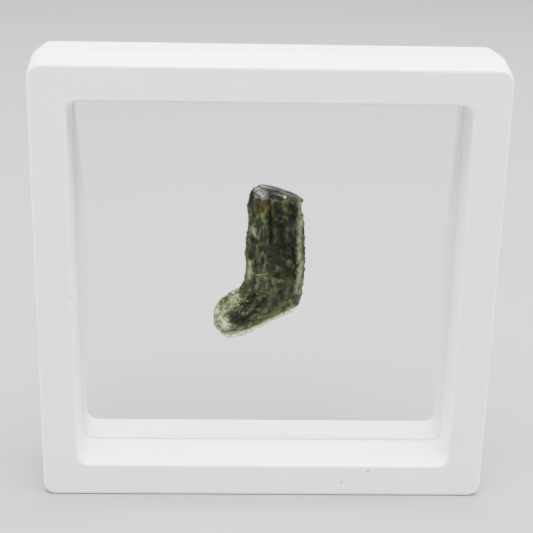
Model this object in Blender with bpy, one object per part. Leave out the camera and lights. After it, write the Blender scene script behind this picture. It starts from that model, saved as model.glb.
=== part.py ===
"""A moldavite held between two clear films in a square display frame that opens like a book.

Metres, +Z up. The origin is on the floor under the middle of the frame, and the frame's front faces -Y.
"""

import math

import bmesh
import bpy
import numpy as np
from mathutils import Matrix, Vector, noise

MM = 0.001

# Frame
WIDTH = 90 * MM  # across the seam, its widest square
DEPTH = 20 * MM
FRONT_DEPTH = 11 * MM  # from the front face to the seam
APERTURE = 75 * MM
CORNER_RADIUS = 2.5 * MM
APERTURE_RADIUS = 2.3 * MM
EDGE_ROUND = 0.6 * MM  # on the outer edges of both faces
LIP_ROUND = 0.5 * MM  # on the edges of the aperture
DRAFT = 0.5 * MM  # how much each side leans in from the seam to its face
BASE_TRIM = 0.5 * MM  # taken off the lower side's ridge, so that the frame stands on a flat face
SEAM_GAP = 0.3 * MM  # takes the borders of both films
CORNER_STEPS = 6
ROUND_STEPS = 3

# Films
FILM_WIDTH = 81 * MM
FILM_THICKNESS = 0.08 * MM
FILM_SPACING = 0.06 * MM  # between the two films where the frame clamps them
FILM_CLEARANCE = 0.3 * MM  # between a film and the stone
FLAT_MARGIN = 0.8 * MM  # how far in from the aperture's edge a film still lies flat
FINE_MESH = 3 * MM
COARSE_MESH = 7 * MM
FINE_MARGIN = 3 * MM
RELAX_STEPS = 400

# Hinge
AXIS_OFFSET = 0.15 * MM  # of the hinge axis from the frame's side
KNUCKLE_RADIUS = 1.2 * MM
PEG_RADIUS = 0.57 * MM
PEG_REACH = 1.5 * MM
BORE_RADIUS = 0.65 * MM
FRONT_KNUCKLE = 7 * MM
BACK_KNUCKLE = 4 * MM
HINGE_GAP = 0.3 * MM
HINGE_HEIGHTS = (22 * MM, 68 * MM)
KNUCKLE_SIDES = 24

# Fingernail groove, opposite the hinge
GROOVE_RADIUS = 1.6 * MM
GROOVE_DEPTH = 1 * MM
GROOVE_LENGTH = 14 * MM

# Stone: rungs across it from the top end to the toe, each with its left and right end (x, z), from
# the middle of the frame, and its half thickness, in millimetres
RUNGS = (
    ((-1.7, 18.4), (3.4, 17.4), 1.3),
    ((-3.0, 17.4), (6.5, 15.9), 2.6),
    ((-3.5, 15.0), (6.5, 14.0), 3.5),
    ((-3.4, 12.3), (7.1, 11.4), 4.1),
    ((-3.5, 8.9), (7.0, 8.0), 4.3),
    ((-3.8, 5.3), (7.2, 4.9), 4.3),
    ((-3.5, 2.3), (7.4, 1.5), 4.2),
    ((-3.7, -1.1), (7.1, -2.0), 4.1),
    ((-4.5, -2.6), (6.8, -5.2), 3.9),
    ((-5.3, -3.7), (5.7, -7.4), 3.7),
    ((-6.2, -4.3), (2.6, -9.1), 3.5),
    ((-7.3, -4.9), (-0.6, -10.9), 3.3),
    ((-8.9, -6.3), (-3.4, -12.5), 3.1),
    ((-9.9, -7.8), (-6.0, -13.4), 2.9),
    ((-10.3, -9.6), (-7.9, -13.4), 2.3),
    ((-10.2, -10.7), (-8.9, -12.5), 1.2),
)
SECTION_POWER = 2.3  # 2 is an ellipse, more is boxier
STONE_SIDES = 40
STONE_RINGS = 48
FRONT_SHARE = 1.03  # the stone stands a little further out to the front than to the back
PIT_WIDTH = 2.2 * MM
PIT_LENGTH = 4.8 * MM
PIT_DEPTH = 0.55 * MM
WAVE_HEIGHT = 0.35 * MM
WAVE_LENGTH = 7 * MM
DENT = (4.2 * MM, 6.5 * MM)  # oval hollow in the front, from the middle of the frame
DENT_SIZE = (1.3 * MM, 2.3 * MM)
DENT_DEPTH = 0.5 * MM

HALF = WIDTH / 2
MIDDLE = HALF - BASE_TRIM  # height of the middle of the aperture
FRONT_Y = -DEPTH / 2
BACK_Y = DEPTH / 2
SEAM_Y = FRONT_Y + FRONT_DEPTH
HINGE = Vector((HALF + AXIS_OFFSET, SEAM_Y, 0))  # a point of its upright axis


def clear_scene():
    for obj in list(bpy.data.objects):
        bpy.data.objects.remove(obj)


def new_collection(name):
    collection = bpy.data.collections.new(name)
    bpy.context.scene.collection.children.link(collection)
    return collection


def new_object(name, mesh, collection):
    obj = bpy.data.objects.new(name, mesh)
    collection.objects.link(obj)
    return obj


def mesh_from(bm, name):
    bmesh.ops.recalc_face_normals(bm, faces=bm.faces[:])
    mesh = bpy.data.meshes.new(name)
    bm.to_mesh(mesh)
    bm.free()
    return mesh


def material(name, colour, roughness, alpha=1.0, transmission=0.0):
    made = bpy.data.materials.new(name)
    made.use_nodes = True
    shader = made.node_tree.nodes["Principled BSDF"]
    shader.inputs["Base Color"].default_value = (*colour, 1)
    shader.inputs["Roughness"].default_value = roughness
    shader.inputs["Metallic"].default_value = 0
    shader.inputs["Alpha"].default_value = alpha
    shader.inputs["Transmission Weight"].default_value = transmission
    return made


def rounded_square(half, radius, y):
    """Points of a rounded square about the frame's middle, in the plane y."""
    points = []
    for quarter in range(4):
        start = quarter * math.pi / 2
        middle = start + math.pi / 4
        corner = (half - radius) * math.sqrt(2)
        for step in range(CORNER_STEPS + 1):
            angle = start + step / CORNER_STEPS * math.pi / 2
            x = corner * math.cos(middle) + radius * math.cos(angle)
            z = corner * math.sin(middle) + radius * math.sin(angle)
            points.append((x, y, max(0.0, MIDDLE + z)))
    return points


def lofted_ring(name, section):
    """A closed ring whose cut face has these corners, each (y, half width, corner radius)."""
    bm = bmesh.new()
    rings = []
    for y, half, radius in section:
        rings.append([bm.verts.new(point) for point in rounded_square(half, radius, y)])
    for ring, following in zip(rings, rings[1:] + rings[:1]):
        for i in range(len(ring)):
            j = (i + 1) % len(ring)
            bm.faces.new((ring[i], ring[j], following[j], following[i]))
    return mesh_from(bm, name)


def half_section(face_y, inward, seam_y):
    """The rim of one half, from its face round its outside to the seam and back through the aperture.

    inward is +1 where the seam lies towards +Y of the face, and -1 otherwise.
    """
    outer = HALF - DRAFT
    hole = APERTURE / 2
    section = []
    for step in range(ROUND_STEPS + 1):
        angle = step / ROUND_STEPS * math.pi / 2
        inset = EDGE_ROUND * (1 - math.sin(angle))
        y = face_y + inward * EDGE_ROUND * (1 - math.cos(angle))
        section.append((y, outer - inset, CORNER_RADIUS - inset))
    section.append((seam_y, HALF, CORNER_RADIUS))
    section.append((seam_y, hole, APERTURE_RADIUS))
    for step in range(ROUND_STEPS + 1):
        angle = step / ROUND_STEPS * math.pi / 2
        outset = LIP_ROUND * (1 - math.cos(angle))
        y = face_y + inward * LIP_ROUND * (1 - math.sin(angle))
        section.append((y, hole + outset, APERTURE_RADIUS + outset))
    return section


def posts(name, radius, spans, centre, collection):
    """Upright cylinders about a centre line, one for each (bottom, top) span."""
    bm = bmesh.new()
    for bottom, top in spans:
        place = Matrix.Translation((centre.x, centre.y, (bottom + top) / 2))
        bmesh.ops.create_cone(
            bm,
            cap_ends=True,
            segments=KNUCKLE_SIDES,
            radius1=radius,
            radius2=radius,
            depth=top - bottom,
            matrix=place,
        )
    return new_object(name, mesh_from(bm, name), collection)


def combine(obj, other, operation):
    modifier = obj.modifiers.new(other.name, "BOOLEAN")
    modifier.operation = operation
    modifier.solver = "EXACT"
    modifier.object = other
    other.hide_render = True
    other.display_type = "WIRE"


def front_spans(extra=0.0):
    """Heights that the front half's knuckles take, each end let out by extra."""
    reach = FRONT_KNUCKLE / 2 + extra
    return [(height - reach, height + reach) for height in HINGE_HEIGHTS]


def back_spans(extra=0.0):
    """Heights that the back half's knuckles take, above and below each front knuckle."""
    near = FRONT_KNUCKLE / 2 + HINGE_GAP
    far = near + BACK_KNUCKLE
    spans = []
    for height in HINGE_HEIGHTS:
        spans.append((height - far - extra, height - near + extra))
        spans.append((height + near - extra, height + far + extra))
    return spans


def peg_spans():
    """Heights of the pegs, rooted in the back knuckles and ending inside the front ones."""
    spans = []
    for bottom, top in front_spans():
        spans.append((bottom - BACK_KNUCKLE / 2, bottom + PEG_REACH))
        spans.append((top - PEG_REACH, top + BACK_KNUCKLE / 2))
    return spans


def build_halves(parts, plastic):
    front_section = half_section(FRONT_Y, 1, SEAM_Y - SEAM_GAP / 2)
    back_section = half_section(BACK_Y, -1, SEAM_Y + SEAM_GAP / 2)
    front = new_object("front_frame", lofted_ring("front_frame", front_section), parts)
    back = new_object("back_frame", lofted_ring("back_frame", back_section), parts)
    for half in (front, back):
        half.data.materials.append(plastic)
    return front, back


def build_hinge(front, back, cutters):
    pocket = KNUCKLE_RADIUS + HINGE_GAP
    front_pockets = posts("front_pockets", pocket, back_spans(HINGE_GAP), HINGE, cutters)
    back_pockets = posts("back_pockets", pocket, front_spans(HINGE_GAP), HINGE, cutters)
    front_knuckles = posts("front_knuckles", KNUCKLE_RADIUS, front_spans(), HINGE, cutters)
    back_knuckles = posts("back_knuckles", KNUCKLE_RADIUS, back_spans(), HINGE, cutters)
    bores = posts("bores", BORE_RADIUS, front_spans(2 * HINGE_GAP), HINGE, cutters)
    pegs = posts("pegs", PEG_RADIUS, peg_spans(), HINGE, cutters)
    combine(front, front_pockets, "DIFFERENCE")
    combine(front, front_knuckles, "UNION")
    combine(front, bores, "DIFFERENCE")
    combine(back, back_pockets, "DIFFERENCE")
    combine(back, back_knuckles, "UNION")
    combine(back, pegs, "UNION")


def build_groove(front, back, cutters):
    """A hollow across the seam, opposite the hinge, for a fingernail."""
    span = (MIDDLE - GROOVE_LENGTH / 2, MIDDLE + GROOVE_LENGTH / 2)
    centre = Vector((GROOVE_DEPTH - GROOVE_RADIUS - HALF, SEAM_Y, 0))
    groove = posts("nail_groove", GROOVE_RADIUS, [span], centre, cutters)
    combine(front, groove, "DIFFERENCE")
    combine(back, groove, "DIFFERENCE")


def hang_on_hinge(objects, parts):
    """Gives the pieces that swing open one parent on the hinge's axis."""
    pivot = new_object("hinge_axis", None, parts)
    pivot.location = HINGE
    for obj in objects:
        obj.parent = pivot
        obj.matrix_parent_inverse = Matrix.Translation(-HINGE)


def eased(values, place):
    """The row of values at a fractional place between rows, on a curve through them all."""
    last = len(values) - 1
    i = min(int(place), last - 1)
    t = place - i
    before, here = values[max(i - 1, 0)], values[i]
    after, beyond = values[i + 1], values[min(i + 2, last)]
    pull = (after - before) * t + (2 * before - 5 * here + 4 * after - beyond) * t * t
    return here + 0.5 * (pull + (3 * here - before - 3 * after + beyond) * t ** 3)


def bowed(cosine):
    """A section's coordinate, pushed out from the ellipse towards a box."""
    return math.copysign(abs(cosine) ** (2 / SECTION_POWER), cosine)


def relief(angle, along, girth):
    """How far the surface lies under its smooth form: rounded pits with ridges between, on slow waves."""
    turn = girth / math.tau / PIT_WIDTH
    place = Vector((turn * math.cos(angle), turn * math.sin(angle), along / PIT_LENGTH))
    nearest, second = noise.voronoi(place)[0][:2]
    pit = min(1.0, 1.6 * (second - nearest))
    swell = girth / math.tau / WAVE_LENGTH
    slow = Vector((swell * math.cos(angle), swell * math.sin(angle), along / WAVE_LENGTH))
    return PIT_DEPTH * (pit - 0.4) - WAVE_HEIGHT * noise.noise(slow)


def dent(x, z):
    """Depth of the oval hollow at a place on the front of the stone."""
    across, up = (x - DENT[0]) / DENT_SIZE[0], (z - DENT[1]) / DENT_SIZE[1]
    return DENT_DEPTH * max(0.0, 1 - across * across - up * up)


def build_stone(parts, glass):
    rungs = np.array([(*left, *right, thick) for left, right, thick in RUNGS]) * MM
    middles = (rungs[:, :2] + rungs[:, 2:4]) / 2
    bm = bmesh.new()
    rings = []
    along = 0.0
    previous = middles[0]
    for ring in range(STONE_RINGS):
        rung = eased(rungs, ring / (STONE_RINGS - 1) * (len(rungs) - 1))
        left, right, thick = rung[:2], rung[2:4], rung[4]
        middle = (left + right) / 2
        reach = (right - left) / 2
        along += np.linalg.norm(middle - previous)
        previous = middle
        girth = math.tau * math.sqrt((reach @ reach + thick * thick) / 2)
        points = []
        for side in range(STONE_SIDES):
            angle = side / STONE_SIDES * math.tau
            outward, forward = bowed(math.cos(angle)), bowed(math.sin(angle))
            x, z = middle + reach * outward
            y = SEAM_Y - thick * forward * (FRONT_SHARE if forward > 0 else 1.0)
            sunk = relief(angle, along, girth) * thick / rungs[:, 4].max()
            if forward > 0:
                sunk += dent(x, z)
            slope = Vector((reach[0] * outward, -thick * forward, reach[1] * outward))
            place = Vector((x, y, MIDDLE + z)) - float(sunk) * slope.normalized()
            points.append(bm.verts.new(place))
        rings.append(points)
    for ring, following in zip(rings, rings[1:]):
        for i in range(STONE_SIDES):
            j = (i + 1) % STONE_SIDES
            bm.faces.new((ring[i], ring[j], following[j], following[i]))
    for ring in (rings[0], rings[-1]):
        bmesh.ops.poke(bm, faces=[bm.faces.new(ring)])
    stone = new_object("moldavite", mesh_from(bm, "moldavite"), parts)
    stone.data.materials.append(glass)
    stone.data.shade_smooth()
    return stone


def grid_lines(low, high, fine_low, fine_high):
    """Grid lines from low to high, close together between fine_low and fine_high."""
    lines = [low]
    stretches = (
        (fine_low, COARSE_MESH),
        (fine_high, FINE_MESH),
        (high, COARSE_MESH),
    )
    for end, spacing in stretches:
        start = lines[-1]
        count = max(1, round((end - start) / spacing))
        lines += [start + (end - start) * (i + 1) / count for i in range(count)]
    return np.array(lines)


def stand_off(points, xs, zs, towards):
    """How far a film has to stand off its clamped plane at each grid point to clear the stone."""
    x_reach = np.maximum(np.diff(xs, prepend=xs[0]), np.diff(xs, append=xs[-1]))
    z_reach = np.maximum(np.diff(zs, prepend=zs[0]), np.diff(zs, append=zs[-1]))
    heights = (points[:, 1] - SEAM_Y) * towards - FILM_SPACING / 2 + FILM_CLEARANCE
    needed = np.zeros((len(xs), len(zs)))
    for i, x in enumerate(xs):
        for j, z in enumerate(zs):
            near = (abs(points[:, 0] - x) < x_reach[i]) & (abs(points[:, 2] - z) < z_reach[j])
            if near.any():
                needed[i, j] = max(0.0, heights[near].max())
    return needed


def stretched(needed, xs, zs):
    """The heights of a taut film over a grid, held at zero round its edge and lifted where it must be."""
    dx, dz = np.diff(xs), np.diff(zs)
    after_x, before_x = (1 / dx[1:])[:, None], (1 / dx[:-1])[:, None]
    after_z, before_z = (1 / dz[1:])[None, :], (1 / dz[:-1])[None, :]
    span_x = (dx[1:] + dx[:-1])[:, None]
    span_z = (dz[1:] + dz[:-1])[None, :]
    heights = needed.copy()
    for _ in range(RELAX_STEPS):
        pull_x = (heights[2:, 1:-1] * after_x + heights[:-2, 1:-1] * before_x) / span_x
        pull_z = (heights[1:-1, 2:] * after_z + heights[1:-1, :-2] * before_z) / span_z
        hold = (after_x + before_x) / span_x + (after_z + before_z) / span_z
        heights[1:-1, 1:-1] = np.maximum((pull_x + pull_z) / hold, needed[1:-1, 1:-1])
    return heights


def build_film(name, stone, towards, parts, clear):
    """A clear film over the stone. towards is -1 for the front film and +1 for the back one."""
    points = np.array([vertex.co for vertex in stone.data.vertices])
    low, high = points.min(axis=0) - FINE_MARGIN, points.max(axis=0) + FINE_MARGIN
    reach = APERTURE / 2 - FLAT_MARGIN
    xs = grid_lines(-reach, reach, low[0], high[0])
    zs = grid_lines(MIDDLE - reach, MIDDLE + reach, low[2], high[2])
    heights = stretched(stand_off(points, xs, zs, towards), xs, zs)
    border = FILM_WIDTH / 2 - reach
    xs = np.concatenate([[xs[0] - border], xs, [xs[-1] + border]])
    zs = np.concatenate([[zs[0] - border], zs, [zs[-1] + border]])
    heights = np.pad(heights, 1)
    inner_y = SEAM_Y + towards * FILM_SPACING / 2
    bm = bmesh.new()
    sheet = [[bm.verts.new((x, inner_y + towards * heights[i, j], z)) for j, z in enumerate(zs)]
             for i, x in enumerate(xs)]
    for i in range(len(xs) - 1):
        for j in range(len(zs) - 1):
            bm.faces.new((sheet[i][j], sheet[i + 1][j], sheet[i + 1][j + 1], sheet[i][j + 1]))
    skin = bmesh.ops.extrude_face_region(bm, geom=bm.faces[:], use_keep_orig=True)
    moved = [item for item in skin["geom"] if isinstance(item, bmesh.types.BMVert)]
    bmesh.ops.translate(bm, verts=moved, vec=(0, towards * FILM_THICKNESS, 0))
    film = new_object(name, mesh_from(bm, name), parts)
    film.data.materials.append(clear)
    return film


def main():
    clear_scene()
    parts = new_collection("moldavite_frame")
    cutters = new_collection("cutters")
    plastic = material("white_plastic", (0.80, 0.80, 0.78), 0.45)
    glass = material("moldavite_glass", (0.11, 0.14, 0.04), 0.3, transmission=0.3)
    clear = material("clear_film", (0.95, 0.96, 0.97), 0.05, alpha=0.15)
    front, back = build_halves(parts, plastic)
    build_hinge(front, back, cutters)
    build_groove(front, back, cutters)
    stone = build_stone(parts, glass)
    front_film = build_film("front_film", stone, -1, parts, clear)
    build_film("back_film", stone, 1, parts, clear)
    hang_on_hinge((front, front_film), parts)


main()
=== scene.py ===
"""The looks of a moldavite held between two clear films in a white display frame.

Metres, +Z up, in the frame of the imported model. The stone and the films are made anew, finer than the
solids they stand for. The two halves of the frame keep their solids and get a moulded plastic finish.
"""

import math

import bmesh
import bpy
import numpy as np
from mathutils import Matrix, Vector, noise
from mathutils.bvhtree import BVHTree


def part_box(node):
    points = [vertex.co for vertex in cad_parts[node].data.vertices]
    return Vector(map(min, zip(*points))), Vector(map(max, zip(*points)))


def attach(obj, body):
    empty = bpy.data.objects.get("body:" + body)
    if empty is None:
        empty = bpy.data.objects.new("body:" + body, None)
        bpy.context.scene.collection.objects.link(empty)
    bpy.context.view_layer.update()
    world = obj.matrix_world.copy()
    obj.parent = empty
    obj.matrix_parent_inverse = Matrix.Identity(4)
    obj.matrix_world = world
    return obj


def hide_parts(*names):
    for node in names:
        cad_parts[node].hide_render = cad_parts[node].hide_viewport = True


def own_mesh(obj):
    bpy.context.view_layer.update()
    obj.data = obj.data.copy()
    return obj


MM = 0.001

# Stone: rungs across it from the top end to the toe, each with its left and right end (x, z), from
# the middle of the frame, and its half thickness, in millimetres
RUNGS = (
    ((-1.7, 18.4), (3.4, 17.4), 1.3),
    ((-3.0, 17.4), (6.5, 15.9), 2.6),
    ((-3.5, 15.0), (6.5, 14.0), 3.5),
    ((-3.4, 12.3), (7.1, 11.4), 4.1),
    ((-3.5, 8.9), (7.0, 8.0), 4.3),
    ((-3.8, 5.3), (7.2, 4.9), 4.3),
    ((-3.5, 2.3), (7.4, 1.5), 4.2),
    ((-3.7, -1.1), (7.1, -2.0), 4.1),
    ((-4.5, -2.6), (6.8, -5.2), 3.9),
    ((-5.3, -3.7), (5.7, -7.4), 3.7),
    ((-6.2, -4.3), (2.6, -9.1), 3.5),
    ((-7.3, -4.9), (-0.6, -10.9), 3.3),
    ((-8.9, -6.3), (-3.4, -12.5), 3.1),
    ((-9.9, -7.8), (-6.0, -13.4), 2.9),
    ((-10.3, -9.6), (-7.9, -13.4), 2.3),
    ((-10.2, -10.7), (-8.9, -12.5), 1.2),
)
SECTION_POWER = 2.3
FRONT_SHARE = 1.03
STONE_SIDES = 200
STONE_RINGS = 400
CAP_RINGS = 14
CAP_BULGE = 0.5
WAVE = (0.35, 7.0)  # height and length of the slow waves
PITS = (0.55, 1.45, 3.6)  # depth, width and length of the large pits
SMALL_PITS = (0.24, 0.7, 1.2)
PIT_MEAN = 0.4  # about the mean of the pits' shape, added back so that the stone keeps its size
PIT_STEEPNESS = 1.6
RIDGES = (0.30, 0.9, 5.5)  # height, spacing and length of the thin ridges that run along the stone
SMALL_RIDGES = (0.16, 0.55, 2.4)
RIDGE_SHARPNESS = 5
RIDGE_SHIFT = 40  # takes the ridges from another stretch of the noise than the waves
GRAIN = (0.03, 0.45)  # height and length
END_SPAN = 4  # rings over which the direction of each end is measured
HEIGHT_SPAN = 0.9  # relief between the lowest and the highest shade, the hollows getting painted shade and the ridges a painted highlight
SPUR = (6.7, 15.8)  # small knob at the corner of the top end
SPUR_HEIGHT = 0.3
SPUR_WIDTH = 0.5
DENT = (4.2, 6.5)  # middle of the oval hollow
DENT_SIZE = (1.3, 2.3)
DENT_DEPTH = 0.5
DENT_RIM = (0.12, 1.15, 0.3)  # height of its raised rim, then place and width on the oval's own scale

# Marks on the stone's front, each a height, a width and the points (x, z) that it follows, from the
# middle of the frame, in millimetres
MARKS = (
    (-0.45, 0.35, ((4.7, 15.1), (5.3, 12.4), (5.3, 9.3), (5.6, 6.4), (5.4, 3.5), (5.7, 0.5), (6.2, -2.5))),
    (0.30, 0.40, ((5.8, 16.1), (6.3, 13.1), (6.1, 9.8), (6.5, 6.4), (6.6, 2.6), (6.5, -1.2))),
    (0.28, 0.22, ((-0.7, 13.0), (0.0, 10.9), (0.3, 8.9), (0.3, 7.2))),
    (0.28, 0.25, ((-3.0, 11.9), (-1.9, 11.3), (-2.3, 9.9), (-3.2, 9.7))),
    (0.25, 0.22, ((-1.5, 8.8), (-0.9, 7.2), (-0.8, 5.7), (-1.4, 4.0))),
    (0.30, 0.30, ((-3.7, 8.0), (-3.8, 5.9), (-3.1, 3.4), (-2.6, 1.3), (-3.2, -1.3))),
    (-0.45, 0.30, ((0.2, 16.1), (0.5, 12.6), (0.8, 9.7), (0.6, 6.8))),
    (0.30, 0.22, ((-4.3, -2.2), (-5.7, -3.7), (-7.1, -5.8), (-8.5, -6.1))),
    (0.35, 0.25, ((-2.8, -2.4), (-4.3, -4.5), (-5.9, -6.7), (-7.3, -8.2))),
    (-0.45, 0.28, ((-2.1, -3.4), (-3.7, -5.6), (-5.3, -7.6), (-6.9, -9.3))),
    (0.40, 0.25, ((-5.6, -10.8), (-3.2, -9.9), (-0.9, -8.6), (1.5, -6.8), (3.7, -6.2), (5.5, -5.6))),
    (0.25, 0.20, ((-3.0, -8.1), (-1.7, -7.4), (-0.7, -8.0))),
    (0.20, 0.60, ((-1.4, -0.2), (-0.2, 0.4))),
    (-0.40, 0.25, ((-5.3, -11.5), (-2.8, -10.5), (-0.5, -9.2), (1.9, -7.5), (4.0, -6.9), (5.5, -6.3))),
    (0.28, 0.16, ((0.9, 13.6), (1.4, 12.7), (2.1, 12.9), (2.3, 13.7))),
    (0.26, 0.18, ((-8.5, -6.9), (-8.2, -7.7), (-6.6, -6.9), (-5.8, -5.2), (-6.3, -4.6))),
    (0.10, 0.06, ((-2.0, 1.0), (0.3, 1.7))),
)

# Painted shade on the stone's front, where it shows near black, each a strength, a width and a path as
# above
PAINTED_SHADE = (
    (1.0, 1.3, ((1.7, 15.3), (2.4, 12.6), (2.9, 9.9), (3.0, 7.5))),
    (1.0, 0.9, ((4.6, 15.1), (4.8, 12.8), (4.4, 9.9), (5.4, 7.5), (5.7, 5.0))),
    (0.7, 1.4, ((1.7, 4.2), (2.1, 1.3), (2.9, -0.8))),
    (0.9, 0.6, ((-0.3, -3.9), (-1.9, -6.1), (-3.7, -8.4), (-6.8, -9.8))),
    (0.6, 0.7, ((5.2, 1.3), (5.2, -2.8))),
    (0.7, 0.5, ((0.5, 15.1), (0.7, 11.2), (0.9, 8.0))),
    (0.9, 0.5, ((0.4, 17.0), (2.7, 16.6))),
    (0.85, 0.9, ((0.6, 18.2), (2.8, 17.7), (5.6, 16.5))),
    (0.5, 0.5, ((-2.6, 7.6), (-2.4, 4.6), (-2.0, 2.4))),
    (0.55, 2.0, ((3.6, 3.6), (3.0, -0.5), (2.4, -4.2))),
)
# Pale strokes on the stone's front, each a strength, a width and a path as above. Most are painted light:
# painted glints, a painted sheen on the left ridges, a painted highlight along the right rim and on the
# foot's ridges, and a painted glow where light shines through the thin sole; the toe's edge is drawn
# lighter too. The one along the fine scratch is the stone's own pale colour.
PALE_AND_HIGHLIGHTS = (
    (1.60, 0.85, ((-8.6, -13.0), (-5.7, -12.6), (-3.0, -11.9), (0.0, -10.4), (3.0, -8.6), (5.4, -7.2))),
    (0.75, 1.00, ((-9.4, -7.8), (-8.6, -9.0), (-8.0, -10.2))),
    (0.55, 0.50, ((-10.2, -9.4), (-9.2, -11.6))),
    (0.22, 0.55, ((6.3, 15.5), (6.5, 13.0), (6.5, 9.5), (6.3, 6.6), (6.7, 4.2), (6.6, 1.3), (6.3, -2.8))),
    (0.30, 0.35, ((-3.2, 3.4), (-3.4, 0.1))),
    (0.18, 0.60, ((-1.6, -1.1), (-1.3, -1.6))),
    (0.25, 0.25, ((2.0, 3.1), (2.2, 2.8))),
    (1.40, 0.12, ((3.3, 16.9), (3.4, 16.8))),
    (0.50, 0.07, ((-2.0, 1.0), (-0.9, 1.4), (0.3, 1.7))),
    (0.25, 0.60, ((-2.4, 10.4), (-2.4, 9.2))),
    (0.25, 0.80, ((-5.6, -4.4), (-8.2, -6.9))),
)
WORN = (
    (0.9, 0.8, ((-1.8, 17.4), (-0.9, 17.3))),
)
RUST = (
    (0.9, 0.7, ((-0.9, 15.8), (0.1, 15.0))),
    (0.9, 0.4, ((0.4, 18.5), (2.0, 18.3), (3.6, 17.7))),
    (0.7, 0.5, ((3.6, 14.6), (4.4, 14.0))),
)

# Films
APERTURE = 75 * MM
APERTURE_RADIUS = 2.3 * MM
FILM_CELLS = 130
FILM_THICKNESS = 0.05 * MM
FILM_CLEARANCE = 0.06 * MM
COARSENESS = (8, 4, 2, 1)  # grid steps of the rounds in which a film is drawn taut
ROUND_STEPS = 625
STONE_REACH = (-12 * MM, 9 * MM)  # x between which a ray can meet the stone
RAY_START = 20 * MM
SIDE_ARCH = 0.055  # greatest width of the painted whitish sheen arch along each side, as a share of half the opening
FOOT_ARCH = 0.035
ARCH_BLUR = 0.003
ARCH_WHITENESS = 0.16

# Colours
WHITE_PLASTIC = ((0.81, 0.80, 0.755), (0.86, 0.85, 0.805))
DIRT = (0.30, 0.27, 0.22)
CLEAR = (0.992, 0.994, 0.995)
# white of the film's dust specks, also used for the painted sheen at its edges
DUST_AND_SHEEN_WHITE = (0.85, 0.85, 0.84)
# Colours of the hollows and the raised places, two tones each for the mottle: the hollows are darkened as
# painted shade, the raised places lightened as a painted highlight
SHADED_HOLLOW_GREEN = ((0.003, 0.005, 0.001), (0.012, 0.018, 0.003))
LIT_RIDGE_GREEN = ((0.020, 0.030, 0.005), (0.115, 0.140, 0.052))
DEEP_SHADE = (0.004, 0.005, 0.002)
# colour of the pale strokes: mostly painted highlights, glints and glow, and the pale scratch
PALE_AND_HIGHLIGHT_GREEN = (0.76, 0.84, 0.44)
WORN_GREY = (0.34, 0.30, 0.29)
RUST_BROWN = (0.075, 0.038, 0.016)
INSIDE_GREEN = (0.40, 0.56, 0.12)
INSIDE_DENSITY = 700.0
FLOOR_GREY = (0.20, 0.20, 0.197)
SKY = (0.95, 0.97, 1.0)
SKY_STRENGTH = 0.35

# Lamps: name, place, height that it is aimed at over the origin, size, power and colour
LAMPS = (
    ("overhead", (0.04, -0.16, 0.75), 0.04, (0.7, 0.5), 38.0, (0.95, 0.965, 1.0)),
    ("front", (-0.5, -0.9, 0.6), 0.04, (0.7, 0.7), 2.5, (1.0, 0.93, 0.82)),
    ("rear", (0.05, 0.45, 0.55), 0.03, (0.8, 0.4), 14.0, (1, 1, 1)),
    ("left", (-0.7, -0.02, 0.25), 0.04, (0.3, 0.6), 9.0, (1, 1, 1)),
    ("right", (0.8, -0.02, 0.3), 0.04, (0.3, 0.6), 10.0, (1, 1, 1)),
)
FLOOR_SIZE = 6

# Camera
LENS = 92.07
SENSOR = 36
NEAREST = 0.01
CAMERA_PLACE = (-7.86 * MM, -252.93 * MM, 144.69 * MM)
CAMERA_TURN = (-0.3707, -0.0211, -0.0315)  # tip, roll and swing from level, looking along +Y

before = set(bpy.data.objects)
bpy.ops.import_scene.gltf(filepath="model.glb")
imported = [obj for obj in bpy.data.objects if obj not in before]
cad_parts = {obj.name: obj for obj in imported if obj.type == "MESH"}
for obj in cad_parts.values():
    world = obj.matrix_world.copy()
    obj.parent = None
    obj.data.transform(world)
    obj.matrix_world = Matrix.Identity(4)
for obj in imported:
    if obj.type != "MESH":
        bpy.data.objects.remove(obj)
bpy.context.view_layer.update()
film_low, film_high = (Vector(corner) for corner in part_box("front_film"))
back_low = Vector(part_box("back_film")[0])
FRONT_FILM_Y = film_high.y
BACK_FILM_Y = back_low.y
SEAM_Y = (FRONT_FILM_Y + BACK_FILM_Y) / 2
MIDDLE = (film_low.z + film_high.z) / 2
FILM_HALF = (film_high.x - film_low.x) / 2


def new_object(name, mesh):
    obj = bpy.data.objects.new(name, mesh)
    bpy.context.scene.collection.objects.link(obj)
    return obj


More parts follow.
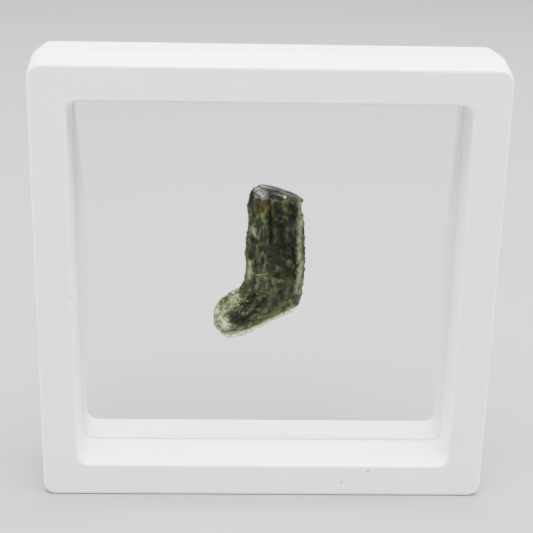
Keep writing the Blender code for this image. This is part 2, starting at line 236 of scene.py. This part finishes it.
class Graph:
    """A material's nodes, added and joined by name."""

    MIX_FACTOR, MIX_FIRST, MIX_SECOND, MIX_RESULT = 0, 6, 7, 2  # a colour mix's own sockets

    def __init__(self, name):
        self.material = bpy.data.materials.new(name)
        self.material.use_nodes = True
        self.nodes = self.material.node_tree.nodes
        self.links = self.material.node_tree.links
        self.shader = self.nodes["Principled BSDF"]
        self.output = self.nodes["Material Output"]

    def add(self, kind, **settings):
        node = self.nodes.new("ShaderNode" + kind)
        for key, value in settings.items():
            setattr(node, key, value)
        return node

    def link(self, source, target):
        self.links.new(source, target)

    def set(self, node, **values):
        for key, value in values.items():
            node.inputs[key.replace("_", " ")].default_value = value

    def place(self):
        """The object's own coordinates."""
        return self.add("TexCoord").outputs["Object"]

    def noise(self, scale, detail, roughness=0.5, stretch=None):
        place = self.place()
        if stretch:
            mapping = self.add("Mapping")
            mapping.inputs["Scale"].default_value = stretch
            self.link(place, mapping.inputs["Vector"])
            place = mapping.outputs["Vector"]
        texture = self.add("TexNoise")
        self.set(texture, Scale=scale, Detail=detail, Roughness=roughness)
        self.link(place, texture.inputs["Vector"])
        return texture.outputs["Fac"]

    def specks(self, scale, size, strength, patches, share):
        """Small round specks that lie in loose patches."""
        cells = self.add("TexVoronoi")
        self.set(cells, Scale=scale)
        self.link(self.place(), cells.inputs["Vector"])
        near = self.remap(cells.outputs["Distance"], *size, strength, 0.0)
        patch = self.remap(self.noise(scale=patches, detail=1), *share)
        return self.math("MULTIPLY", near, patch)

    def remap(self, value, low, high, to_low=0.0, to_high=1.0):
        """A value carried over from one range to another, and kept inside it."""
        node = self.add("MapRange")
        node.inputs["From Min"].default_value = low
        node.inputs["From Max"].default_value = high
        node.inputs["To Min"].default_value = to_low
        node.inputs["To Max"].default_value = to_high
        self.link(value, node.inputs["Value"])
        return node.outputs["Result"]

    def math(self, operation, first, second):
        node = self.add("Math", operation=operation)
        for i, value in enumerate((first, second)):
            if isinstance(value, (int, float)):
                node.inputs[i].default_value = value
            else:
                self.link(value, node.inputs[i])
        return node.outputs["Value"]

    def mix(self, factor, first, second):
        """A colour between two, each a colour or a socket."""
        node = self.add("Mix", data_type="RGBA")
        self.link(factor, node.inputs[self.MIX_FACTOR])
        for i, value in ((self.MIX_FIRST, first), (self.MIX_SECOND, second)):
            if isinstance(value, tuple):
                node.inputs[i].default_value = (*value, 1)
            else:
                self.link(value, node.inputs[i])
        return node.outputs[self.MIX_RESULT]

    def mix_shaders(self, factor, first, second):
        node = self.add("MixShader")
        for i, socket in enumerate((factor, first, second)):
            self.link(socket, node.inputs[i])
        return node.outputs["Shader"]

    def bump(self, height, strength, distance):
        node = self.add("Bump")
        self.set(node, Strength=strength, Distance=distance)
        self.link(height, node.inputs["Height"])
        self.link(node.outputs["Normal"], self.shader.inputs["Normal"])


def plastic_material():
    """White moulded plastic: satin, with a fine grain, faint mottling and a few specks of dirt."""
    graph = Graph("white_plastic")
    mottle = graph.remap(graph.noise(scale=45, detail=3), 0.3, 0.7)
    colour = graph.mix(mottle, *WHITE_PLASTIC)
    specks = graph.specks(scale=190.0, size=(0.035, 0.07), strength=1.0, patches=60, share=(0.60, 0.66))
    colour = graph.mix(specks, colour, DIRT)
    graph.link(colour, graph.shader.inputs["Base Color"])
    rough = graph.remap(graph.noise(scale=700, detail=2), 0.3, 0.7, 0.32, 0.44)
    graph.link(rough, graph.shader.inputs["Roughness"])
    graph.set(graph.shader, Specular_IOR_Level=0.5)
    graph.bump(graph.noise(scale=1700, detail=2), strength=0.5, distance=0.0001)
    return graph.material


def arch(graph, along, width):
    """The width of a shallow arch at a place along its side, where that runs from -1 to 1."""
    return graph.math("MULTIPLY", graph.math("SUBTRACT", 1.0, graph.math("MULTIPLY", along, along)), width)


def painted_edge_sheen(graph):
    """The painted sheen that whitens a film where it turns in at its sides and its lower edge, in shallow
    arches.
    """
    place = graph.add("SeparateXYZ")
    graph.link(graph.place(), place.inputs["Vector"])
    half = APERTURE / 2
    across = graph.math("ABSOLUTE", graph.math("DIVIDE", place.outputs["X"], half), 0.0)
    up = graph.math("DIVIDE", graph.math("SUBTRACT", place.outputs["Z"], MIDDLE), half)
    side = graph.math("SUBTRACT", arch(graph, up, SIDE_ARCH), graph.math("SUBTRACT", 1.0, across))
    foot = graph.math("SUBTRACT", arch(graph, across, FOOT_ARCH), graph.math("ADD", 1.0, up))
    return graph.remap(graph.math("MAXIMUM", side, foot), -ARCH_BLUR, ARCH_BLUR, 0.0, ARCH_WHITENESS)


def film_material():
    """Clear stretched film: see-through, with a gloss that grows at a slant, a little dust, and a painted
    whitish sheen in arches along its sides and lower edge.
    """
    graph = Graph("clear_film")
    graph.nodes.remove(graph.shader)
    clear = graph.add("BsdfTransparent")
    graph.set(clear, Color=(*CLEAR, 1))
    gloss = graph.add("BsdfGlossy")
    graph.set(gloss, Roughness=0.06)
    facing = graph.add("Fresnel")
    graph.set(facing, IOR=1.45)
    shine = graph.math("MULTIPLY", facing.outputs["Fac"], 0.06)
    skin = graph.mix_shaders(shine, clear.outputs["BSDF"], gloss.outputs["BSDF"])
    dust_and_sheen = graph.add("BsdfDiffuse")
    graph.set(dust_and_sheen, Color=(*DUST_AND_SHEEN_WHITE, 1))
    specks = graph.specks(scale=260.0, size=(0.03, 0.06), strength=0.6, patches=110, share=(0.57, 0.63))
    smears = graph.noise(scale=70, detail=4, roughness=0.6, stretch=(1, 1, 2.2))
    cover = graph.math("MAXIMUM", specks, graph.remap(smears, 0.62, 0.85, 0.0, 0.025))
    # The painted sheen at the film's edges takes the same white diffuse shader as the dust
    cover = graph.math("MAXIMUM", cover, painted_edge_sheen(graph))
    whole = graph.mix_shaders(cover, skin, dust_and_sheen.outputs["BSDF"])
    graph.link(whole, graph.output.inputs["Surface"])
    return graph.material


def stone_material():
    """Dark bottle-green natural glass, clearer where it is thin, worn grey and rusty at its top end. Its
    colour also carries painted light: painted shade in its hollows and where it shows near black, painted
    highlights on its raised places, glints and rims, and a painted glow along its thin sole.
    """
    graph = Graph("moldavite_glass")
    graph.set(graph.shader, IOR=1.49, Specular_IOR_Level=0.12)
    shade = {}
    for name in ("height", "dark", "pale", "worn", "rust"):
        shade[name] = graph.add("Attribute", attribute_name=name).outputs["Fac"]
    mottle = graph.remap(graph.noise(scale=900, detail=3, roughness=0.6), 0.35, 0.65)
    low = graph.mix(mottle, *SHADED_HOLLOW_GREEN)
    high = graph.mix(mottle, *LIT_RIDGE_GREEN)
    # Painted light from the relief: raised places lighter as a painted highlight, hollows darker as painted
    # shade
    colour = graph.mix(graph.remap(shade["height"], 0.53, 1.0), low, high)
    # Painted shade: near black where the stone shows in shade
    colour = graph.mix(shade["dark"], colour, DEEP_SHADE)
    broken = graph.remap(graph.noise(scale=1500, detail=2), 0.35, 0.6, 0.35, 1.0)
    # Painted highlights and glow, and the pale scratch, broken up and strongest on raised places
    ridged = graph.math("MULTIPLY", broken, graph.remap(shade["height"], 0.30, 0.70, 0.2, 1.0))
    pale = graph.math("MULTIPLY", shade["pale"], ridged)
    colour = graph.mix(pale, colour, PALE_AND_HIGHLIGHT_GREEN)
    worn = graph.math("MULTIPLY", shade["worn"], broken)
    colour = graph.mix(worn, colour, WORN_GREY)
    colour = graph.mix(graph.math("MULTIPLY", shade["rust"], broken), colour, RUST_BROWN)
    graph.link(colour, graph.shader.inputs["Base Color"])
    solid = graph.math("MAXIMUM", graph.math("MAXIMUM", pale, worn), shade["dark"])
    clearness = graph.remap(solid, 0.0, 0.8, 0.32, 0.03)
    graph.link(clearness, graph.shader.inputs["Transmission Weight"])
    rough = graph.remap(graph.noise(scale=1200, detail=3), 0.3, 0.7, 0.10, 0.24)
    rough = graph.math("ADD", rough, graph.math("MULTIPLY", shade["dark"], 0.45))
    graph.link(rough, graph.shader.inputs["Roughness"])
    graph.bump(graph.noise(scale=1600, detail=3), strength=0.25, distance=0.00005)
    inside = graph.add("VolumeAbsorption")
    graph.set(inside, Color=(*INSIDE_GREEN, 1), Density=INSIDE_DENSITY)
    graph.link(inside.outputs["Volume"], graph.output.inputs["Volume"])
    return graph.material


def eased(values, place):
    """The row of values at a fractional place between rows, on a curve through them all."""
    last = len(values) - 1
    i = min(int(place), last - 1)
    t = place - i
    before, here = values[max(i - 1, 0)], values[i]
    after, beyond = values[i + 1], values[min(i + 2, last)]
    pull = (after - before) * t + (2 * before - 5 * here + 4 * after - beyond) * t * t
    return here + 0.5 * (pull + (3 * here - before - 3 * after + beyond) * t ** 3)


def bowed(cosine):
    """A section's coordinate, pushed out from the ellipse towards a box."""
    return np.copysign(np.abs(cosine) ** (2 / SECTION_POWER), cosine)


def stone_rings():
    """Rows of (left x, z, right x, z, half thickness) down the stone, their middles and distances along."""
    rungs = np.array([(*left, *right, thick) for left, right, thick in RUNGS])
    rows = [eased(rungs, i / (STONE_RINGS - 1) * (len(rungs) - 1)) for i in range(STONE_RINGS)]
    rows = np.array(rows)
    middles = (rows[:, :2] + rows[:, 2:4]) / 2
    steps = np.linalg.norm(np.diff(middles, axis=0), axis=1)
    along = np.concatenate([[0.0], np.cumsum(steps)])
    return rows, middles, along


def closing_rings(row, along, outward):
    """Rings that round off one end of the stone, from its last full ring outward."""
    rings = []
    for step in range(1, CAP_RINGS):
        turn = step / CAP_RINGS * math.pi / 2
        shrink = math.cos(turn)
        shift = outward * CAP_BULGE * math.sin(turn)
        middle = (row[:2] + row[2:4]) / 2 + shift
        reach = (row[2:4] - row[:2]) / 2 * shrink
        ring = np.concatenate([middle - reach, middle + reach, [row[4] * shrink]])
        rings.append((ring, along))
    return rings


def distance_to(path, x, z):
    """Distance of each (x, z) to a line through the points of a path."""
    best = np.full(x.shape, 1e9)
    for (ax, az), (bx, bz) in zip(path, path[1:]):
        dx, dz = bx - ax, bz - az
        t = np.clip(((x - ax) * dx + (z - az) * dz) / (dx * dx + dz * dz), 0, 1)
        best = np.minimum(best, np.hypot(x - ax - t * dx, z - az - t * dz))
    return best


def scaled(place, width, length, shift=0):
    """A place on the stone (two coordinates around, one along) in units of a feature's size."""
    return Vector((place[0] / width, place[1] / width, place[2] / length + shift))


def pits(place, size):
    """The depth of rounded pits with ridges between them."""
    depth, width, length = size
    nearest, second = noise.voronoi(scaled(place, width, length))[0][:2]
    return depth * (min(1.0, PIT_STEEPNESS * (second - nearest)) - PIT_MEAN)


def relief(place):
    """Height of the surface over its smooth form at a place (two coordinates around, one along)."""
    wave_height, wave_length = WAVE
    height = wave_height * noise.noise(Vector(place) / wave_length)
    for size in (PITS, SMALL_PITS):
        height -= pits(place, size)
    for rise, width, length in (RIDGES, SMALL_RIDGES):
        line = noise.noise(scaled(place, width, length, RIDGE_SHIFT))
        height += rise * (1 - min(1.0, abs(line) * RIDGE_SHARPNESS))
    grain_height, grain_length = GRAIN
    height += grain_height * noise.noise(Vector(place) / grain_length)
    return height


def direction(start, end):
    return (end - start) / np.linalg.norm(end - start)


def all_rings():
    """Every ring of the stone with its distance along, rounded off at both ends."""
    rows, middles, along = stone_rings()
    first = closing_rings(rows[0], along[0], direction(middles[END_SPAN], middles[0]))
    last = closing_rings(rows[-1], along[-1], direction(middles[-1 - END_SPAN], middles[-1]))
    return first[::-1] + list(zip(rows, along)) + last


def stone_form(rings, angles, outward, forward):
    """The smooth form's points, the directions out of it and the relief's heights, ring by ring."""
    share = np.where(forward > 0, FRONT_SHARE, 1.0)
    thickest = max(thick for _, _, thick in RUNGS)
    points, slopes, heights = [], [], []
    for row, distance in rings:
        middle = (row[:2] + row[2:4]) / 2
        reach = (row[2:4] - row[:2]) / 2
        thick = row[4]
        girth = math.sqrt((reach @ reach + thick * thick) / 2)
        x = middle[0] + reach[0] * outward
        z = middle[1] + reach[1] * outward
        y = -thick * forward * share
        points.append(np.stack([x, y, z], axis=1))
        slope = np.stack([reach[0] * outward, -thick * forward, reach[1] * outward], axis=1)
        slope /= np.linalg.norm(slope, axis=1)[:, None] + 1e-9
        slopes.append(slope)
        scale = thick / thickest
        heights.append([
            relief((girth * math.cos(a), girth * math.sin(a), distance)) * scale for a in angles
        ])
    return np.array(points), np.array(slopes), np.array(heights)


def mark_front(points, heights, forward):
    """Adds the marks, the oval hollow and the end knob to the heights."""
    x, z = points[..., 0], points[..., 2]
    front = np.clip(forward, 0, 1)[None, :] ** 0.5
    for height, width, path in MARKS:
        heights += height * np.exp(-(distance_to(path, x, z) / width) ** 2) * front
    dent = ((x - DENT[0]) / DENT_SIZE[0]) ** 2 + ((z - DENT[1]) / DENT_SIZE[1]) ** 2
    heights -= DENT_DEPTH * np.clip(1 - dent, 0, 1) * front
    rim_height, rim_place, rim_width = DENT_RIM
    heights += rim_height * np.exp(-((dent - rim_place) / rim_width) ** 2) * front
    heights += SPUR_HEIGHT * np.exp(-(np.hypot(x - SPUR[0], z - SPUR[1]) / SPUR_WIDTH) ** 2)


def tube_faces(count):
    """Faces between neighbouring rings of points, and one over each end."""
    faces = []
    for ring in range(count - 1):
        for side in range(STONE_SIDES):
            here, beside = ring * STONE_SIDES + side, ring * STONE_SIDES + (side + 1) % STONE_SIDES
            faces.append((here, beside, beside + STONE_SIDES, here + STONE_SIDES))
    start = (count - 1) * STONE_SIDES
    faces.append(tuple(range(STONE_SIDES)))
    faces.append(tuple(range(start + STONE_SIDES - 1, start - 1, -1)))
    return faces


def closed_mesh(name, points, faces, material):
    """A smooth mesh that faces outward. Faces of more than four sides are split at their middle."""
    mesh = bpy.data.meshes.new(name)
    mesh.from_pydata(points.tolist(), [], faces)
    bm = bmesh.new()
    bm.from_mesh(mesh)
    bmesh.ops.recalc_face_normals(bm, faces=bm.faces[:])
    ends = [face for face in bm.faces if len(face.verts) > 4]
    if ends:
        bmesh.ops.poke(bm, faces=ends)
    bm.to_mesh(mesh)
    bm.free()
    mesh.shade_smooth()
    mesh.materials.append(material)
    return mesh


def build_stone(material):
    """The stone, in its place between the films."""
    angles = np.arange(STONE_SIDES) / STONE_SIDES * math.tau
    outward, forward = bowed(np.cos(angles)), bowed(np.sin(angles))
    rings = all_rings()
    points, slopes, heights = stone_form(rings, angles, outward, forward)
    mark_front(points, heights, forward)
    points += slopes * heights[..., None]
    places = points.reshape(-1, 3) * MM + np.array([0, SEAM_Y, MIDDLE])
    mesh = closed_mesh("moldavite_stone", places, tube_faces(len(rings)), material)
    paint(mesh, points, heights)
    return new_object("moldavite_stone", mesh)


def shade_along(strokes, x, z):
    """How strongly strokes, each a strength, a width and a path, shade each place."""
    shade = np.zeros_like(x)
    for strength, width, path in strokes:
        shade = np.maximum(shade, strength * np.exp(-(distance_to(path, x, z) / width) ** 2))
    return shade


def paint(mesh, points, heights):
    """Stores where the stone is raised (a painted highlight there, painted shade in its hollows), where it
    gets painted shade, where it is pale or gets a painted highlight or glow, and where it is worn and
    rusty.
    """
    x, z = points[..., 0], points[..., 2]
    layers = {
        # the relief, which the material turns into a painted highlight on raised places and painted shade
        # in hollows
        "height": np.clip(0.5 + heights / HEIGHT_SPAN, 0, 1),
        "dark": shade_along(PAINTED_SHADE, x, z),
        "pale": shade_along(PALE_AND_HIGHLIGHTS, x, z),
        "worn": shade_along(WORN, x, z),
        "rust": shade_along(RUST, x, z),
    }
    spare = len(mesh.vertices) - x.size
    for name, values in layers.items():
        layer = mesh.attributes.new(name, "FLOAT", "POINT")
        flat = np.concatenate([values.ravel(), np.full(spare, values.ravel()[0])])
        layer.data.foreach_set("value", flat.astype(np.float32))


def clamped_plane(towards):
    """Where the frame clamps a film. towards is -1 for the front film and +1 for the back one."""
    return FRONT_FILM_Y if towards < 0 else BACK_FILM_Y


def film_needs(stone, xs, zs, towards):
    """How far the film must stand off its clamped plane at each grid point to clear the stone."""
    mesh = stone.data
    tree = BVHTree.FromPolygons([v.co for v in mesh.vertices], [p.vertices for p in mesh.polygons])
    needed = np.zeros((len(xs), len(zs)))
    clamped_y = clamped_plane(towards)
    start_y = towards * RAY_START
    for i, x in enumerate(xs):
        if not STONE_REACH[0] < x < STONE_REACH[1]:
            continue
        for j, z in enumerate(zs):
            hit = tree.ray_cast(Vector((x, start_y, z)), Vector((0, -towards, 0)))[0]
            if hit:
                needed[i, j] = max(0.0, (hit.y - clamped_y) * towards + FILM_CLEARANCE)
    grown = needed.copy()
    for di in (-1, 0, 1):
        for dj in (-1, 0, 1):
            grown = np.maximum(grown, np.roll(needed, (di, dj), axis=(0, 1)))
    return grown


def aperture_mask(xs, zs):
    """True inside the rounded opening of the frame."""
    inner = APERTURE / 2 - APERTURE_RADIUS
    dx = np.maximum(abs(xs)[:, None] - inner, 0)
    dz = np.maximum(abs(zs - MIDDLE)[None, :] - inner, 0)
    return np.hypot(dx, dz) < APERTURE_RADIUS


def taut(needed, inside):
    """The heights of a taut film, held at zero outside the opening and lifted where it must be."""
    heights = needed.copy()
    for size in COARSENESS:
        coarse = heights[::size, ::size]
        floor, open_part = needed[::size, ::size], inside[::size, ::size]
        for _ in range(ROUND_STEPS):
            mean = (coarse[2:, 1:-1] + coarse[:-2, 1:-1] + coarse[1:-1, 2:] + coarse[1:-1, :-2]) / 4
            coarse[1:-1, 1:-1] = np.where(open_part[1:-1, 1:-1], np.maximum(mean, floor[1:-1, 1:-1]), 0)
        if size > 1:
            rows = np.arange(heights.shape[0]) / size
            columns = np.arange(heights.shape[1]) / size
            r = np.minimum(rows.astype(int), coarse.shape[0] - 2)
            c = np.minimum(columns.astype(int), coarse.shape[1] - 2)
            fr, fc = (rows - r)[:, None], (columns - c)[None, :]
            kept = coarse.copy()
            smooth = (
                kept[np.ix_(r, c)] * (1 - fr) * (1 - fc)
                + kept[np.ix_(r + 1, c)] * fr * (1 - fc)
                + kept[np.ix_(r, c + 1)] * (1 - fr) * fc
                + kept[np.ix_(r + 1, c + 1)] * fr * fc
            )
            heights[:] = np.where(inside, np.maximum(smooth, needed), 0)
    return heights


def sheet_faces(rows, columns):
    """Faces of a closed sheet: a grid of points, the same grid one layer out, and a rim between them."""
    total = rows * columns

    def index(i, j):
        return i * columns + j

    faces = []
    for i in range(rows - 1):
        for j in range(columns - 1):
            corners = (index(i, j), index(i + 1, j), index(i + 1, j + 1), index(i, j + 1))
            faces.append(corners)
            faces.append(tuple(total + corner for corner in reversed(corners)))
    edge = [index(i, 0) for i in range(rows)]
    edge += [index(rows - 1, j) for j in range(1, columns)]
    edge += [index(i, columns - 1) for i in range(rows - 2, -1, -1)]
    edge += [index(0, j) for j in range(columns - 2, 0, -1)]
    for here, beside in zip(edge, edge[1:] + edge[:1]):
        faces.append((here, beside, total + beside, total + here))
    return faces


def build_film(name, stone, towards, material):
    """A film bulged by the stone, with its border in the seam."""
    reach = APERTURE / 2
    xs = np.linspace(-reach, reach, FILM_CELLS + 1)
    zs = np.linspace(MIDDLE - reach, MIDDLE + reach, FILM_CELLS + 1)
    heights = taut(film_needs(stone, xs, zs, towards), aperture_mask(xs, zs))
    xs = np.concatenate([[-FILM_HALF], xs, [FILM_HALF]])
    zs = np.concatenate([[MIDDLE - FILM_HALF], zs, [MIDDLE + FILM_HALF]])
    heights = np.pad(heights, 1)
    grid_x, grid_z = np.meshgrid(xs, zs, indexing="ij")
    grid_y = clamped_plane(towards) + towards * heights
    inner = np.stack([grid_x, grid_y, grid_z], axis=-1).reshape(-1, 3)
    outer = inner + [0, towards * FILM_THICKNESS, 0]
    points = np.concatenate([inner, outer])
    return new_object(name, closed_mesh(name, points, sheet_faces(len(xs), len(zs)), material))


def build_stage():
    """A plain pale floor."""
    bpy.ops.mesh.primitive_plane_add(size=FLOOR_SIZE, location=(0, 0, 0))
    floor = bpy.context.object
    floor.name = "floor"
    graph = Graph("pale_floor")
    graph.set(graph.shader, Base_Color=(*FLOOR_GREY, 1), Roughness=0.7)
    floor.data.materials.append(graph.material)


def add_lamp(name, place, height, size, power, colour):
    """A rectangular lamp that faces a point at a height over the origin."""
    lamp = bpy.data.lights.new(name, "AREA")
    lamp.shape = "RECTANGLE"
    lamp.size, lamp.size_y = size
    lamp.energy = power
    lamp.color = colour
    obj = new_object(name, lamp)
    obj.location = place
    obj.rotation_euler = (Vector((0, 0, height)) - Vector(place)).to_track_quat("-Z", "Y").to_euler()


def light():
    """The lamps, and a pale sky all round."""
    for lamp in LAMPS:
        add_lamp(*lamp)
    world = bpy.data.worlds.new("world")
    world.use_nodes = True
    sky = world.node_tree.nodes["Background"]
    sky.inputs["Color"].default_value = (*SKY, 1)
    sky.inputs["Strength"].default_value = SKY_STRENGTH
    bpy.context.scene.world = world


def place_camera():
    """The camera, where the edges in the photo put it for a frame 20 mm deep."""
    camera = bpy.data.cameras.new("camera")
    camera.lens = LENS
    camera.sensor_width = SENSOR
    camera.clip_start = NEAREST
    obj = new_object("camera", camera)
    tip, roll, swing = CAMERA_TURN
    turn = Matrix.Rotation(swing, 4, "Z") @ Matrix.Rotation(tip, 4, "X") @ Matrix.Rotation(roll, 4, "Y")
    obj.matrix_world = Matrix.Translation(CAMERA_PLACE) @ turn @ Matrix.Rotation(math.pi / 2, 4, "X")
    bpy.context.scene.camera = obj


def dress():
    """Gives the frame its finish, and puts the finer stone and films in their nodes' place."""
    plastic = plastic_material()
    for name in ("front_frame", "back_frame"):
        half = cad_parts[name]
        half.material_slots[0].material = plastic
    stone = build_stone(stone_material())
    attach(stone, "back")
    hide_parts("moldavite")
    clear = film_material()
    back_film = build_film("back_clear_film", stone, 1, clear)
    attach(back_film, "back")
    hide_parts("back_film")
    front_film = build_film("front_clear_film", stone, -1, clear)
    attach(front_film, "front")
    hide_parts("front_film")
    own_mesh(front_film)


dress()
build_stage()
light()
place_camera()
